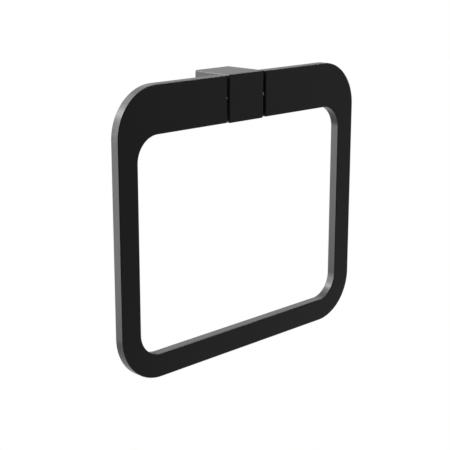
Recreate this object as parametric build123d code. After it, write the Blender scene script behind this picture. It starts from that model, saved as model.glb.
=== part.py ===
from build123d import *
import os

# Towel holder for a bathroom wall. A flat ring with rounded corners is cut through at the middle of its
# top bar, and swings on two short pins in a square block. The block hangs on a hidden dovetail bracket,
# where a grub screw from below pulls it against the wall. The unit is the millimetre. The wall is the
# plane Y = 0 with the room on its minus Y side, Z is up, and the origin is the middle of the block's back.

# Wall block
block_side = 29.0
block_projection = 29.0
block_side_edge_radius = 1.0
block_front_edge_radius = 0.5
block_wall = 3.0
cavity_corner_radius = 1.5
wall_behind_pins = 2.4

# Ring plate
ring_width = 200.0
ring_height = 172.0
ring_thickness = 6.0
side_bar_width = 14.0
bottom_bar_width = 14.4
top_bar_width = 28.2
ring_outer_radius = 29.0
ring_inner_radius = 15.0
ring_front_edge_radius = 0.4
ring_back_edge_chamfer = 0.3
gap_beside_block = 2.15

# Pivot pins
pin_diameter = 4.0
pin_chamfer = 0.4
pin_press_depth = 9.0
pin_reach_in_block = 5.0
pin_running_clearance = 0.05
pin_end_clearance = 0.3

# Wall bracket
bracket_thickness = 8.0
bracket_side_clearance = 0.4
bracket_top_clearance = 0.3
bracket_lift_clearance = 0.4
bracket_corner_radius = 2.0
dovetail_depth = 6.5
dovetail_rise = 2.0
screw_spacing = 10.0
screw_hole_diameter = 4.2
countersink_diameter = 8.0

# Grub screw
grub_diameter = 4.0
grub_length = 5.0
grub_from_wall = 4.2
grub_tip_diameter = 1.4
grub_tip_length = 1.2
grub_foot_chamfer = 0.3
grub_socket_across_flats = 2.0
grub_socket_depth = 2.2

# Places that several pieces share
pin_y = ring_thickness / 2 - block_projection
pin_radius = pin_diameter / 2
pin_bore_radius = pin_radius + pin_running_clearance
block_half = block_side / 2
ring_end_x = block_half + gap_beside_block
pin_inner_x = block_half - pin_reach_in_block
pin_outer_x = ring_end_x + pin_press_depth
cavity_half = block_half - block_wall
bracket_top_z = cavity_half - bracket_top_clearance
bracket_bottom_z = -cavity_half + dovetail_rise + bracket_lift_clearance
dovetail_slope = dovetail_rise / dovetail_depth


def rod_across(start_x, end_x, radius):
    """A cylinder on the line that the ring turns about, between two places on it."""
    middle = Location(((start_x + end_x) / 2, pin_y, 0), (0, 90, 0))
    return middle * Cylinder(radius, abs(end_x - start_x))


def rounded_plate(width, height, corner_radius, middle_z, back_y, thickness):
    """A plate parallel to the wall, thickened towards the room from back_y."""
    outline = Pos(0, middle_z) * RectangleRounded(width, height, corner_radius)
    return extrude(Plane.XZ.offset(-back_y) * outline, amount=thickness)


def profile_across(half_width, points):
    """A solid of one section in Y and Z, which runs half_width to each side of the middle."""
    outline = make_face(Polyline(*points, close=True))
    return extrude(Plane.YZ * outline, amount=half_width, both=True)


def make_ring():
    """The plate: its opening, the cut through its top bar, and a blind bore in each cut end."""
    back_y = ring_thickness - block_projection
    top_z = top_bar_width / 2
    opening_width = ring_width - 2 * side_bar_width
    opening_height = ring_height - top_bar_width - bottom_bar_width
    opening_middle_z = -top_z - opening_height / 2
    plate = rounded_plate(
        ring_width, ring_height, ring_outer_radius, top_z - ring_height / 2, back_y, ring_thickness
    )
    plate -= rounded_plate(
        opening_width, opening_height, ring_inner_radius, opening_middle_z, back_y, ring_thickness
    )
    plate -= Pos(0, pin_y, 0) * Box(2 * ring_end_x, 2 * ring_thickness, 2 * top_bar_width)
    back = plate.faces().sort_by(Axis.Y)[-1]
    plate = chamfer(back.edges(), ring_back_edge_chamfer)
    front = plate.faces().sort_by(Axis.Y)[0]
    plate = fillet(front.edges(), ring_front_edge_radius)
    for side in (-1, 1):
        plate -= rod_across(side * block_half, side * pin_outer_x, pin_radius)
    return plate


def make_pin(side):
    """A dowel that is pressed into one cut end of the ring and turns in the block."""
    pin = rod_across(side * pin_inner_x, side * pin_outer_x, pin_radius)
    return chamfer(pin.edges().filter_by(GeomType.CIRCLE), pin_chamfer)


def make_lip():
    """The wedge below the roof of the block's hollow, which drops behind the bracket's top edge."""
    root_z = cavity_half + block_wall / 2
    reach = (bracket_top_clearance + dovetail_rise) / dovetail_slope
    section = [(0, bracket_top_z - dovetail_rise), (-reach, cavity_half), (-reach, root_z), (0, root_z)]
    return profile_across(cavity_half + block_wall / 2, section)


def make_block():
    """The block: hollow from behind, with its lip, two blind bores for the pins and one screw hole."""
    block = rounded_plate(block_side, block_side, block_side_edge_radius, 0, 0, block_projection)
    front = block.faces().sort_by(Axis.Y)[0]
    block = fillet(front.edges(), block_front_edge_radius)
    cavity_depth = block_projection - ring_thickness / 2 - pin_bore_radius - wall_behind_pins
    block -= rounded_plate(2 * cavity_half, 2 * cavity_half, cavity_corner_radius, 0, 0, cavity_depth)
    block += make_lip()
    bore_end = pin_inner_x - pin_end_clearance
    for side in (-1, 1):
        block -= rod_across(side * bore_end, side * block_side, pin_bore_radius)
    block -= Pos(0, -grub_from_wall, -block_half) * Cylinder(grub_diameter / 2, 3 * block_wall)
    return block


def make_bracket():
    """The wall bracket: a rounded plate with bevelled top and bottom, and two countersunk holes."""
    height = bracket_top_z - bracket_bottom_z
    middle_z = (bracket_top_z + bracket_bottom_z) / 2
    half_width = cavity_half - bracket_side_clearance
    section = [
        (0, bracket_top_z - dovetail_rise),
        (-dovetail_depth, bracket_top_z),
        (-bracket_thickness, bracket_top_z),
        (-bracket_thickness, bracket_bottom_z),
        (-dovetail_depth, bracket_bottom_z),
        (0, bracket_bottom_z + dovetail_rise),
    ]
    bracket = profile_across(half_width, section)
    bracket &= rounded_plate(2 * half_width, height, bracket_corner_radius, middle_z, 0, bracket_thickness)
    for side in (-1, 1):
        bracket -= screw_hole(middle_z + side * screw_spacing / 2)
    return bracket


def screw_hole(hole_z):
    """The space of a wall screw: its shank right through the bracket, and its right-angled head."""
    shank_radius = screw_hole_diameter / 2
    head_radius = countersink_diameter / 2
    head_depth = head_radius - shank_radius
    from_front = Location((0, -bracket_thickness, hole_z), (-90, 0, 0))
    shank = Cylinder(shank_radius, 3 * bracket_thickness)
    head = Pos(0, 0, head_depth / 2) * Cone(head_radius, shank_radius, head_depth)
    return from_front * (shank + head)


def make_grub_screw():
    """The set screw: its cone tip rests on the bracket's lower bevel, its hexagon socket faces down."""
    tip_radius = grub_tip_diameter / 2
    contact_from_wall = grub_from_wall + tip_radius
    tip_z = bracket_bottom_z + dovetail_rise - contact_from_wall * dovetail_slope
    radius = grub_diameter / 2
    shoulder_z = tip_z - grub_tip_length
    foot_z = tip_z - grub_length
    half_section = Polyline(
        (0, tip_z),
        (tip_radius, tip_z),
        (radius, shoulder_z),
        (radius, foot_z + grub_foot_chamfer),
        (radius - grub_foot_chamfer, foot_z),
        (0, foot_z),
        close=True,
    )
    screw = revolve(Plane.XZ * make_face(half_section), Axis.Z)
    socket = RegularPolygon(grub_socket_across_flats / 2, 6, major_radius=False)
    screw -= Pos(0, 0, foot_z) * extrude(socket, amount=grub_socket_depth)
    return Pos(0, -grub_from_wall, 0) * screw


os.makedirs("parts", exist_ok=True)
export_step(make_ring(), "parts/ring.step")
export_step(make_pin(-1), "parts/left_pivot_pin.step")
export_step(make_pin(1), "parts/right_pivot_pin.step")
export_step(make_block(), "parts/wall_block.step")
export_step(make_bracket(), "parts/wall_bracket.step")
export_step(make_grub_screw(), "parts/grub_screw.step")
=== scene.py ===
import math

import bmesh
import bpy
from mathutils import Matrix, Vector


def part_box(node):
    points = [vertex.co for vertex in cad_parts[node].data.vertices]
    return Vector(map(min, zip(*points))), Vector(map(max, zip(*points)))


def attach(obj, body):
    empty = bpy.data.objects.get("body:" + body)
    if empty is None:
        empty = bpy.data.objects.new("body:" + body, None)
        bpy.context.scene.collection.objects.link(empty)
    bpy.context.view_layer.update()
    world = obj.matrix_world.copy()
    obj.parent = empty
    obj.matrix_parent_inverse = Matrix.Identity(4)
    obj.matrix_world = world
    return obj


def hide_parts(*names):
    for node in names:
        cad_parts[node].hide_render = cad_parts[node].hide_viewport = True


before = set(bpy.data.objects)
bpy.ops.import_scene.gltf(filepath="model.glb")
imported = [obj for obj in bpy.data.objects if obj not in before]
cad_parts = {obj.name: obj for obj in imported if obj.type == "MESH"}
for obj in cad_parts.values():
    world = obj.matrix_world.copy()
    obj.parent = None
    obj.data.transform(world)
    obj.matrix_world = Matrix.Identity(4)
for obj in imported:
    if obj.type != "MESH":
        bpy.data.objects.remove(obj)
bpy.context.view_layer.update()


# Camera
# It stands in front of the ring and to its left, half a metre out from each, a little above the block,
# and looks along the room's diagonal and slightly down. Its long lens keeps the ring's bars straight.
camera_place = (-0.4908, -0.5015, 0.0971)
camera_turn_right = math.radians(45)
camera_look_down = math.radians(14.5)

bpy.ops.object.select_all(action="DESELECT")
bpy.ops.object.camera_add(
    location=camera_place, rotation=(math.pi / 2 - camera_look_down, 0, -camera_turn_right)
)
camera = bpy.context.object
camera.data.lens = 91.86
camera.data.sensor_width = 36
bpy.context.scene.camera = camera


# Ring
# A flat plate of steel cut to a rounded rectangle with a rounded opening, and sawn through at the middle
# of its high top bar. Its edges are broken, its cut ends are bored for the pins, and it is powder coated.
ring_low, ring_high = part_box("ring")
block_low, block_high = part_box("wall_block")
pin_low, pin_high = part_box("right_pivot_pin")
side_bar = 0.014
bottom_bar = 0.0144
outer_radius = 0.029
inner_radius = 0.015
beside_block = 0.00215
front_edge = 0.0004
back_edge = 0.0003
cut_end = block_high.x + beside_block
opening_top = -ring_high.z
opening_bottom = ring_low.z + bottom_bar
opening_side = ring_high.x - side_bar
pin_radius = (pin_high.z - pin_low.z) / 2
same_place = 0.000001
square_on = 0.99999
sharp_angle = math.radians(60)
arc_steps = 40
edge_steps = 4
round_steps = 64
coat_dark = (0.0062, 0.0062, 0.0064, 1)
coat_light = (0.0090, 0.0089, 0.0088, 1)
coat_cloud_width = 0.03
coat_peel_width = 0.0012
coat_peel_height = 0.000006
coat_grain_width = 0.00028
coat_grain_height = 0.0000035


def select_only(piece):
    """Makes this piece the only selected one."""
    bpy.ops.object.select_all(action="DESELECT")
    piece.select_set(True)
    bpy.context.view_layer.objects.active = piece


def start_editing(piece):
    """Opens the piece's mesh with all of it selected."""
    select_only(piece)
    bpy.ops.object.mode_set(mode="EDIT")
    bpy.ops.mesh.select_all(action="SELECT")


def select_faces(piece, wanted):
    """Selects the faces for which wanted(middle, normal) is true, and nothing else."""
    bpy.ops.mesh.select_mode(type="FACE")
    bpy.ops.mesh.select_all(action="DESELECT")
    mesh = bmesh.from_edit_mesh(piece.data)
    for face in mesh.faces:
        face.select_set(wanted(face.calc_center_median(), face.normal))
    bmesh.update_edit_mesh(piece.data)


def select_sharp_edges(piece, wanted):
    """Selects the sharp edges for which wanted(one end, other end) is true, and nothing else."""
    bpy.ops.mesh.select_mode(type="EDGE")
    bpy.ops.mesh.select_all(action="DESELECT")
    mesh = bmesh.from_edit_mesh(piece.data)
    for edge in mesh.edges:
        sharp = edge.calc_face_angle(0) > sharp_angle
        if sharp and wanted(edge.verts[0].co, edge.verts[1].co):
            edge.select_set(True)
    bmesh.update_edit_mesh(piece.data)


def set_in_place(piece, name):
    """Writes the piece's place and size into its mesh, and names it."""
    select_only(piece)
    bpy.ops.object.transform_apply(location=True, rotation=True, scale=True)
    piece.name = name
    return piece


def rounded_outline(low, high, corner_radius):
    """A rounded rectangle of edges in the plane of the ring's front, from its X and Z corners."""
    bpy.ops.object.select_all(action="DESELECT")
    middle = ((low[0] + high[0]) / 2, ring_low.y, (low[1] + high[1]) / 2)
    bpy.ops.mesh.primitive_plane_add(size=1, location=middle, rotation=(math.pi / 2, 0, 0))
    bpy.context.object.scale = (high[0] - low[0], high[1] - low[1], 1)
    outline = set_in_place(bpy.context.object, "outline")
    start_editing(outline)
    bpy.ops.mesh.bevel(offset=corner_radius, segments=arc_steps, affect="VERTICES")
    bpy.ops.mesh.select_all(action="SELECT")
    bpy.ops.mesh.delete(type="ONLY_FACE")
    bpy.ops.object.mode_set(mode="OBJECT")
    return outline


def combine(piece, tool, operation):
    """Cuts the tool's shape out of the piece, joins it on or keeps what they share, and removes the tool."""
    select_only(piece)
    boolean = piece.modifiers.new(operation, "BOOLEAN")
    boolean.operation = operation
    boolean.solver = "EXACT"
    boolean.object = tool
    bpy.ops.object.modifier_apply(modifier=boolean.name)
    bpy.data.objects.remove(tool)


def rod(name, radius, depth, middle, turned=(0, 0, 0), sides=round_steps):
    """A closed cylinder along Z, or turned from there."""
    bpy.ops.object.select_all(action="DESELECT")
    bpy.ops.mesh.primitive_cylinder_add(
        vertices=sides, radius=radius, depth=depth, location=middle, rotation=turned
    )
    return set_in_place(bpy.context.object, name)


def rod_across(start_x, end_x, radius):
    """A cylinder on the line that the ring turns about."""
    middle = ((start_x + end_x) / 2, (pin_low.y + pin_high.y) / 2, 0)
    return rod("rod across", radius, abs(end_x - start_x), middle, (0, math.pi / 2, 0))


def shade_roundings(piece, angle):
    """Shades the roundings smooth, and leaves each face flat that lies square to X, Y or Z."""
    select_only(piece)
    bpy.ops.object.shade_smooth_by_angle(angle=math.radians(angle))
    for face in piece.data.polygons:
        face.use_smooth = max(abs(part) for part in face.normal) < square_on
    weighted = piece.modifiers.new("flat faces", "WEIGHTED_NORMAL")
    weighted.keep_sharp = True
    bpy.ops.object.modifier_apply(modifier=weighted.name)


ring = rounded_outline((ring_low.x, ring_low.z), (ring_high.x, ring_high.z), outer_radius)
opening = rounded_outline((-opening_side, opening_bottom), (opening_side, opening_top), inner_radius)
select_only(ring)
opening.select_set(True)
bpy.ops.object.join()
ring.name = "towel_ring"
start_editing(ring)
bpy.ops.mesh.bridge_edge_loops()
for side in (-1, 1):
    bpy.ops.mesh.select_all(action="SELECT")
    bpy.ops.mesh.bisect(plane_co=(side * cut_end, 0, 0), plane_no=(1, 0, 0), threshold=same_place)
select_faces(ring, lambda middle, normal: abs(middle.x) < cut_end and middle.z > opening_top)
bpy.ops.mesh.delete(type="FACE")
bpy.ops.mesh.select_all(action="SELECT")
bpy.ops.mesh.extrude_region_move(TRANSFORM_OT_translate={"value": (0, ring_high.y - ring_low.y, 0)})
bpy.ops.mesh.select_all(action="SELECT")
bpy.ops.mesh.normals_make_consistent(inside=False)
select_sharp_edges(ring, lambda one, other: min(one.y, other.y) > ring_high.y - same_place)
bpy.ops.mesh.bevel(offset=back_edge, segments=1, affect="EDGES")
bpy.ops.mesh.select_all(action="DESELECT")
bpy.ops.mesh.edges_select_sharp(sharpness=sharp_angle)
bpy.ops.mesh.bevel(offset=front_edge, segments=edge_steps, affect="EDGES")
bpy.ops.object.mode_set(mode="OBJECT")
for side in (-1, 1):
    combine(ring, rod_across(side * block_high.x, side * pin_high.x, pin_radius), "DIFFERENCE")
shade_roundings(ring, 40)


class Socket:
    """One output of a shader node. Arithmetic on it adds Math nodes to the same material."""

    def __init__(self, tree, output=None):
        self.tree = tree
        self.output = output

    def node(self, kind, settings, sockets, result=0):
        """Adds a node: its settings are set first, then its sockets' values or links."""
        made = self.tree.nodes.new(kind)
        for name, value in settings.items():
            setattr(made, name, value)
        for name, value in sockets.items():
            if isinstance(value, Socket):
                self.tree.links.new(value.output, made.inputs[name])
            else:
                made.inputs[name].default_value = value
        return Socket(self.tree, made.outputs[result])

    def maths(self, operation, first, second):
        return self.node("ShaderNodeMath", {"operation": operation}, {0: first, 1: second})

    def __add__(self, other):
        return self.maths("ADD", self, other)

    def __radd__(self, other):
        return self.maths("ADD", other, self)

    def __rsub__(self, other):
        return self.maths("SUBTRACT", other, self)

    def __mul__(self, other):
        return self.maths("MULTIPLY", self, other)

    def __rmul__(self, other):
        return self.maths("MULTIPLY", other, self)


def new_finish(name):
    """A new material: itself, its surface shader, and the object's own coordinates in metres."""
    material = bpy.data.materials.new(name)
    material.use_nodes = True
    tree = material.node_tree
    surface = tree.nodes["Principled BSDF"]
    place = Socket(tree).node("ShaderNodeTexCoord", {}, {}, "Object")
    return material, surface, place


def noise(place, grain, detail):
    """Soft noise about 0.5, whose lumps are about one grain wide."""
    return place.node(
        "ShaderNodeTexNoise", {}, {"Vector": place, "Scale": 1 / grain, "Detail": detail}, "Fac"
    )


def mix_colours(factor, first, second):
    """A colour between two others, by a factor from 0 to 1. A colour Mix has them in sockets 6 and 7."""
    return factor.node("ShaderNodeMix", {"data_type": "RGBA"}, {0: factor, 6: first, 7: second}, 2)


def raised(height):
    """The surface's normal over small heights in metres."""
    return height.node("ShaderNodeBump", {}, {"Height": height, "Distance": 1.0})


def connect(surface, values):
    """Feeds the surface shader's sockets, by name."""
    for name, value in values.items():
        value.tree.links.new(value.output, surface.inputs[name])


# The coat is a dry, fine grained black powder baked on the metal. It has a slight orange peel about a
# millimetre across with a finer grain over it, and is nearly even in colour.
coat, surface, place = new_finish("black_powder_coat")
peel = noise(place, coat_peel_width, 2)
grain = noise(place, coat_grain_width, 3)
cloud = noise(place, coat_cloud_width, 2)
connect(
    surface,
    {
        "Base Color": mix_colours(0.5 * cloud + 0.5 * grain, coat_dark, coat_light),
        "Roughness": 0.25 + 0.1 * grain,
        "Normal": raised(coat_peel_height * peel + coat_grain_height * grain),
    },
)
ring.data.materials.append(coat)
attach(ring, "swing_ring")
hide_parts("ring")


# Wall block
# A cube of metal that fills the cut in the ring's top bar and is powder coated like it. It is hollow from
# behind, with a wedge under its roof that hooks on the bracket, and is bored for the pins and the screw.
block_wall = 0.003
block_side_edge = 0.001
block_front_edge = 0.0005
hollow_corner = 0.0015
corner_steps = 8
bore_clearance = 0.00005
bore_end_clearance = 0.0003
behind_bores = 0.0024
screw_low, screw_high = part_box("grub_screw")
bracket_low, bracket_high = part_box("wall_bracket")
dovetail_depth = 0.0065
dovetail_rise = 0.002
screw_middle = (screw_low + screw_high) / 2
screw_radius = (screw_high.x - screw_low.x) / 2
hollow_half = block_high.x - block_wall
hollow_floor = pin_high.y + bore_clearance + behind_bores


def sharp_box(name, low, high):
    """A box between two corners."""
    bpy.ops.object.select_all(action="DESELECT")
    bpy.ops.mesh.primitive_cube_add(size=1, location=(low + high) / 2)
    bpy.context.object.scale = high - low
    return set_in_place(bpy.context.object, name)


def rounded_box(name, low, high, corner_radius):
    """A box whose four edges along Y are rounded."""
    box = sharp_box(name, low, high)
    start_editing(box)
    select_sharp_edges(box, lambda one, other: abs(one.y - other.y) > (high.y - low.y) / 2)
    bpy.ops.mesh.bevel(offset=corner_radius, segments=corner_steps, affect="EDGES")
    bpy.ops.object.mode_set(mode="OBJECT")
    return box


block = rounded_box("hollow_wall_block", block_low, block_high, block_side_edge)
start_editing(block)
select_sharp_edges(block, lambda one, other: max(one.y, other.y) < block_low.y / 2)
bpy.ops.mesh.bevel(offset=block_front_edge, segments=edge_steps, affect="EDGES")
bpy.ops.object.mode_set(mode="OBJECT")
hollow = rounded_box(
    "hollow",
    Vector((-hollow_half, hollow_floor, -hollow_half)),
    Vector((hollow_half, block_wall, hollow_half)),
    hollow_corner,
)
combine(block, hollow, "DIFFERENCE")

wedge_foot = bracket_high.z - dovetail_rise
wedge_reach = dovetail_depth * (hollow_half - wedge_foot) / dovetail_rise
wedge_half = hollow_half + block_wall / 2
wedge = sharp_box(
    "wedge", Vector((-wedge_half, -wedge_reach, wedge_foot)), Vector((wedge_half, 0, wedge_half))
)
start_editing(wedge)
select_sharp_edges(
    wedge,
    lambda one, other: max(one.y, other.y) < -wedge_reach / 2 and max(one.z, other.z) < hollow_half,
)
bpy.ops.transform.translate(value=(0, 0, hollow_half - wedge_foot))
bpy.ops.object.mode_set(mode="OBJECT")
combine(block, wedge, "UNION")

bore_end = pin_low.x - bore_end_clearance
for side in (-1, 1):
    bore = rod_across(side * bore_end, side * (block_high.x + block_wall), pin_radius + bore_clearance)
    combine(block, bore, "DIFFERENCE")
floor_middle = (screw_middle.x, screw_middle.y, block_low.z)
combine(block, rod("grub screw hole", screw_radius, 3 * block_wall, floor_middle), "DIFFERENCE")
shade_roundings(block, 40)
block.data.materials.append(coat)
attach(block, "wall_mount")
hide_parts("wall_block")


# Pivot pins
# Two short dowels of steel, turned and ground, with a small chamfer at each end. Each is pressed into one
# cut end of the ring, and its free end turns in the block. The left one is made darker and duller than the
# right one.
pin_chamfer = 0.0004
turning_mark_width = 0.00012
turning_mark_height = 0.000001
turning_mark_squeeze = 0.04


def ground_steel(name, dark, light, roughness):
    """Steel with fine turning marks round the pin, between two shades of grey."""
    steel, surface, place = new_finish(name)
    squeeze = (1, turning_mark_squeeze, turning_mark_squeeze)
    turned = place.node("ShaderNodeMapping", {}, {"Vector": place, "Scale": squeeze})
    marks = noise(turned, turning_mark_width, 3)
    surface.inputs["Metallic"].default_value = 1.0
    connect(
        surface,
        {
            "Base Color": mix_colours(marks, (dark, dark, dark, 1), (light, light, light, 1)),
            "Roughness": roughness + 0.16 * marks,
            "Normal": raised(turning_mark_height * marks),
        },
    )
    return steel


for side, name, steel in (
    (-1, "left", ground_steel("darker_ground_steel", 0.05, 0.16, 0.36)),
    (1, "right", ground_steel("bare_ground_steel", 0.54, 0.72, 0.18)),
):
    pin = rod_across(side * pin_low.x, side * pin_high.x, pin_radius)
    pin.name = name + "_ground_pin"
    start_editing(pin)
    bpy.ops.mesh.select_all(action="DESELECT")
    bpy.ops.mesh.edges_select_sharp(sharpness=sharp_angle)
    bpy.ops.mesh.bevel(offset=pin_chamfer, segments=1, affect="EDGES")
    bpy.ops.object.mode_set(mode="OBJECT")
    shade_roundings(pin, 30)
    pin.data.materials.append(steel)
    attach(pin, "swing_ring")
    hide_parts(name + "_pivot_pin")


# Wall bracket
# A small steel plate with rounded corners, bevelled above and below so that the block's wedge and the
# grub screw pull the block to the wall. Two countersunk holes take the wall screws.
bracket_corner = 0.002
shank_radius = 0.0021
head_radius = 0.004
hole_spacing = 0.01
bracket_middle_z = (bracket_low.z + bracket_high.z) / 2
head_depth = head_radius - shank_radius
shank_end = bracket_low.y + head_depth
past_back = head_depth
zinc_dark = (0.36, 0.36, 0.37, 1)
zinc_light = (0.52, 0.51, 0.49, 1)
zinc_bloom_width = 0.004
scratch_width = 0.00015
scratch_height = 0.000002
scratch_squeeze = 0.03

bracket = rounded_box("dovetail_bracket", bracket_low, bracket_high, bracket_corner)
start_editing(bracket)
for upward, edge_z in ((1, bracket_high.z), (-1, bracket_low.z)):
    bpy.ops.mesh.select_all(action="SELECT")
    bpy.ops.mesh.bisect(
        plane_co=(0, -dovetail_depth, edge_z),
        plane_no=(0, dovetail_rise, upward * dovetail_depth),
        use_fill=True,
        clear_outer=True,
        threshold=same_place,
    )
bpy.ops.object.mode_set(mode="OBJECT")
for side in (-1, 1):
    hole_z = bracket_middle_z + side * hole_spacing / 2
    hole_middle = (0, (shank_end + past_back) / 2, hole_z)
    hole = rod("screw hole", shank_radius, past_back - shank_end, hole_middle, (math.pi / 2, 0, 0))
    start_editing(hole)
    select_faces(hole, lambda middle, normal: normal.y < -0.9)
    bpy.ops.mesh.extrude_region_move(TRANSFORM_OT_translate={"value": (0, -2 * head_depth, 0)})
    wider = 1 + 2 * head_depth / shank_radius
    bpy.ops.transform.resize(value=(wider, 1, wider), center_override=(0, shank_end, hole_z))
    bpy.ops.object.mode_set(mode="OBJECT")
    combine(bracket, hole, "DIFFERENCE")
shade_roundings(bracket, 30)

plated, surface, place = new_finish("zinc_plated_steel")
brushed = place.node("ShaderNodeMapping", {}, {"Vector": place, "Scale": (scratch_squeeze, 1, 1)})
scratches = noise(brushed, scratch_width, 4)
bloom = noise(place, zinc_bloom_width, 3)
surface.inputs["Metallic"].default_value = 1.0
connect(
    surface,
    {
        "Base Color": mix_colours(bloom, zinc_dark, zinc_light),
        "Roughness": 0.26 + 0.14 * scratches + 0.1 * bloom,
        "Normal": raised(scratch_height * scratches),
    },
)
bracket.data.materials.append(plated)
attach(bracket, "wall_mount")
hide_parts("wall_bracket")


# Grub screw
# A set screw of hardened steel with a coarse thread, a blunt cone that presses on the bracket's bevel,
# and a hexagon socket that is reached with a key from below. The thread is one turned ridge all along.
thread_pitch = 0.0007
thread_depth = 0.00038
tip_radius = 0.0007
tip_length = 0.0012
foot_chamfer = 0.0003
socket_across_flats = 0.002
socket_depth = 0.0022
socket_corner_radius = socket_across_flats / 2 / math.cos(math.radians(30))
steps_per_turn = 48
blank_radius = screw_radius + thread_depth / 20
blank_sides = 96

# One side of the ridge is drawn as a line of edges, turned up along a screw line, and closed at both ends.
bpy.ops.object.select_all(action="DESELECT")
bpy.ops.mesh.primitive_plane_add(size=1, location=(0, 0, 0))
thread = bpy.context.object
start_editing(thread)
bpy.ops.mesh.delete(type="VERT")
mesh = bmesh.from_edit_mesh(thread.data)
ridge = [
    (0, 0),
    (0, thread_pitch / 8),
    (thread_depth, thread_pitch * 7 / 16),
    (thread_depth, thread_pitch * 11 / 16),
    (0, thread_pitch),
]
corners = [
    mesh.verts.new((screw_radius - inward, 0, screw_low.z - 2 * thread_pitch + up)) for inward, up in ridge
]
for one, other in zip(corners, corners[1:]):
    mesh.edges.new((one, other))
bmesh.update_edit_mesh(thread.data)
bpy.ops.object.mode_set(mode="OBJECT")
turning = thread.modifiers.new("thread", "SCREW")
turning.axis = "Z"
turning.steps = steps_per_turn
turning.render_steps = steps_per_turn
turning.screw_offset = thread_pitch
turning.iterations = round((screw_high.z - screw_low.z) / thread_pitch) + 4
turning.use_smooth_shade = False
bpy.ops.object.modifier_apply(modifier=turning.name)
start_editing(thread)
bpy.ops.mesh.remove_doubles(threshold=same_place)
for end_z, outward in ((screw_low.z - foot_chamfer, -1), (screw_high.z + foot_chamfer, 1)):
    bpy.ops.mesh.select_all(action="SELECT")
    bpy.ops.mesh.bisect(
        plane_co=(0, 0, end_z),
        plane_no=(0, 0, outward),
        use_fill=True,
        clear_outer=True,
        threshold=same_place,
    )
bpy.ops.mesh.select_all(action="SELECT")
bpy.ops.mesh.normals_make_consistent(inside=False)
bpy.ops.transform.translate(value=(screw_middle.x, screw_middle.y, 0))
bpy.ops.object.mode_set(mode="OBJECT")

# The blank has the foot's chamfer and the cone, and is a little wider than the thread, which it trims.
shank_height = screw_high.z - screw_low.z - tip_length
shank_middle = (screw_middle.x, screw_middle.y, screw_low.z + shank_height / 2)
grub = rod("threaded_grub_screw", blank_radius, shank_height, shank_middle, sides=blank_sides)
start_editing(grub)
select_faces(grub, lambda middle, normal: normal.z < -0.9)
bpy.ops.mesh.bevel(offset=foot_chamfer, segments=1, affect="EDGES")
select_faces(grub, lambda middle, normal: normal.z > 0.9)
bpy.ops.mesh.extrude_region_move(TRANSFORM_OT_translate={"value": (0, 0, tip_length)})
narrower = tip_radius / screw_radius
bpy.ops.transform.resize(value=(narrower, narrower, 1), center_override=screw_middle)
bpy.ops.object.mode_set(mode="OBJECT")
combine(grub, thread, "INTERSECT")
foot_middle = (screw_middle.x, screw_middle.y, screw_low.z)
key_socket = rod("key socket", socket_corner_radius, 2 * socket_depth, foot_middle, sides=6)
combine(grub, key_socket, "DIFFERENCE")
shade_roundings(grub, 20)
grub.data.materials.append(plated)
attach(grub, "wall_mount")
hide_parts("grub_screw")


# Studio
# The part hangs free above a white floor in a white room. The room is bright behind and above the part
# and dim in front of it, so that the black coat stays dark and its edges catch the light.
floor_z = -0.5
floor_near = -0.35
floor_far = 9.0
floor_half_width = 6.0
floor_white = (0.8, 0.8, 0.8, 1)
shadow_reach = 0.28
glow_under_part = 0.55
front_room = 0.08
back_room = 1.43
aim = Vector((0, -0.02, -0.07))

# Each lamp has its direction from the aim, its distance and size in metres, and its power in watts.
lamps = {
    "front_lamp": ((0.60, -0.52, 0.62), 1.2, 0.5, 9.0),
    "low_front_lamp": ((0.75, -0.61, -0.25), 1.5, 1.0, 0.46),
    "left_lamp": ((-0.80, 0.50, -0.28), 1.2, 0.8, 6.0),
    "side_lamp": ((-0.76, 0.58, 0.20), 2.0, 0.9, 15.8),
    "corner_lamp": ((-0.53, 0.63, 0.56), 3.0, 1.0, 34.0),
    "back_lamp": ((-0.25, 0.68, 0.68), 1.2, 0.8, 4.0),
}

for name, (towards, distance, size, power) in lamps.items():
    lamp_place = aim + distance * Vector(towards).normalized()
    lamp_turn = (aim - lamp_place).to_track_quat("-Z", "Y").to_euler()
    bpy.ops.object.select_all(action="DESELECT")
    bpy.ops.object.light_add(type="AREA", location=lamp_place, rotation=lamp_turn)
    lamp = bpy.context.object
    lamp.name = name
    lamp.data.size = size
    lamp.data.energy = power
    lamp.visible_camera = False

bpy.ops.object.select_all(action="DESELECT")
bpy.ops.mesh.primitive_plane_add(size=1, location=(0, (floor_near + floor_far) / 2, floor_z))
bpy.context.object.scale = (2 * floor_half_width, floor_far - floor_near, 1)
floor = set_in_place(bpy.context.object, "floor")
white, surface, place = new_finish("white_floor")
surface.inputs["Roughness"].default_value = 0.9
surface.inputs["Base Color"].default_value = floor_white


def rising(value, start, end):
    """Nothing up to the start, one from the end on, and a smooth rise between them."""
    return value.node(
        "ShaderNodeMapRange",
        {"interpolation_type": "SMOOTHSTEP"},
        {"Value": value, "From Min": start, "From Max": end},
    )


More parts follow.
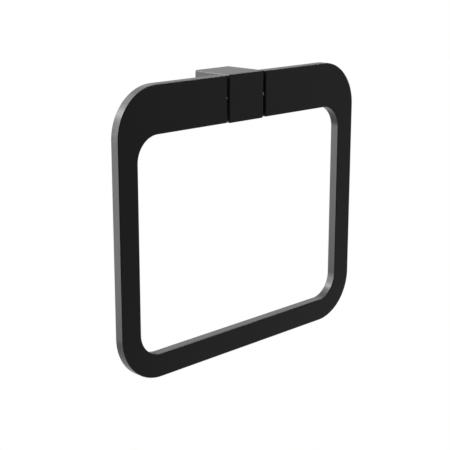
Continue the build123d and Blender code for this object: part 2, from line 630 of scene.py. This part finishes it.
def seen_by(tree, ray_kinds):
    """One where a ray of any of these kinds arrives, and nothing elsewhere."""
    seen = Socket(tree).node("ShaderNodeLightPath", {}, {}, ray_kinds[0])
    for kind in ray_kinds[1:]:
        seen = seen.maths("MAXIMUM", seen, Socket(tree).node("ShaderNodeLightPath", {}, {}, kind))
    return seen


# The floor glows white only where it is looked at, itself or in a reflection. Under the part it glows
# less, and is lit by the lamps for the rest, so that the part's shadow shows there.
across = place.node("ShaderNodeVectorMath", {"operation": "MULTIPLY"}, {0: place, 1: (1, 1, 0)})
from_part = across.node("ShaderNodeVectorMath", {"operation": "LENGTH"}, {0: across}, "Value")
away = rising(from_part, shadow_reach, 2 * shadow_reach)
glowing = glow_under_part + (1 - glow_under_part) * away
glow = place.node("ShaderNodeEmission", {}, {"Strength": 1.0})
looked_at = seen_by(white.node_tree, ("Is Camera Ray", "Is Glossy Ray", "Is Transmission Ray"))
mixed = place.node("ShaderNodeMixShader", {}, {0: glowing * looked_at, 2: glow})
white.node_tree.links.new(surface.outputs[0], mixed.output.node.inputs[1])
white.node_tree.links.new(mixed.output, white.node_tree.nodes["Material Output"].inputs["Surface"])
floor.data.materials.append(white)

# The camera sees the room plain white. The part sees it as it is lit, in its gloss too, because a white
# room in front of the part would turn the black coat grey.
world = bpy.data.worlds.new("white_room")
bpy.context.scene.world = world
world.use_nodes = True
sky = world.node_tree.nodes["Background"]
direction = Socket(world.node_tree).node("ShaderNodeTexCoord", {}, {}, "Generated")
behind = direction.node("ShaderNodeSeparateXYZ", {}, {"Vector": direction}, "Y")
above = direction.node("ShaderNodeSeparateXYZ", {}, {"Vector": direction}, "Z")
room = front_room + back_room * rising(behind, -0.1, 0.6) * rising(above, 0.0, 0.4)
plain = seen_by(world.node_tree, ("Is Camera Ray", "Is Transmission Ray"))
world.node_tree.links.new((plain + room * (1 - plain)).output, sky.inputs["Strength"])
sky.inputs["Color"].default_value = (1, 1, 1, 1)
bpy.context.scene.view_settings.view_transform = "Standard"
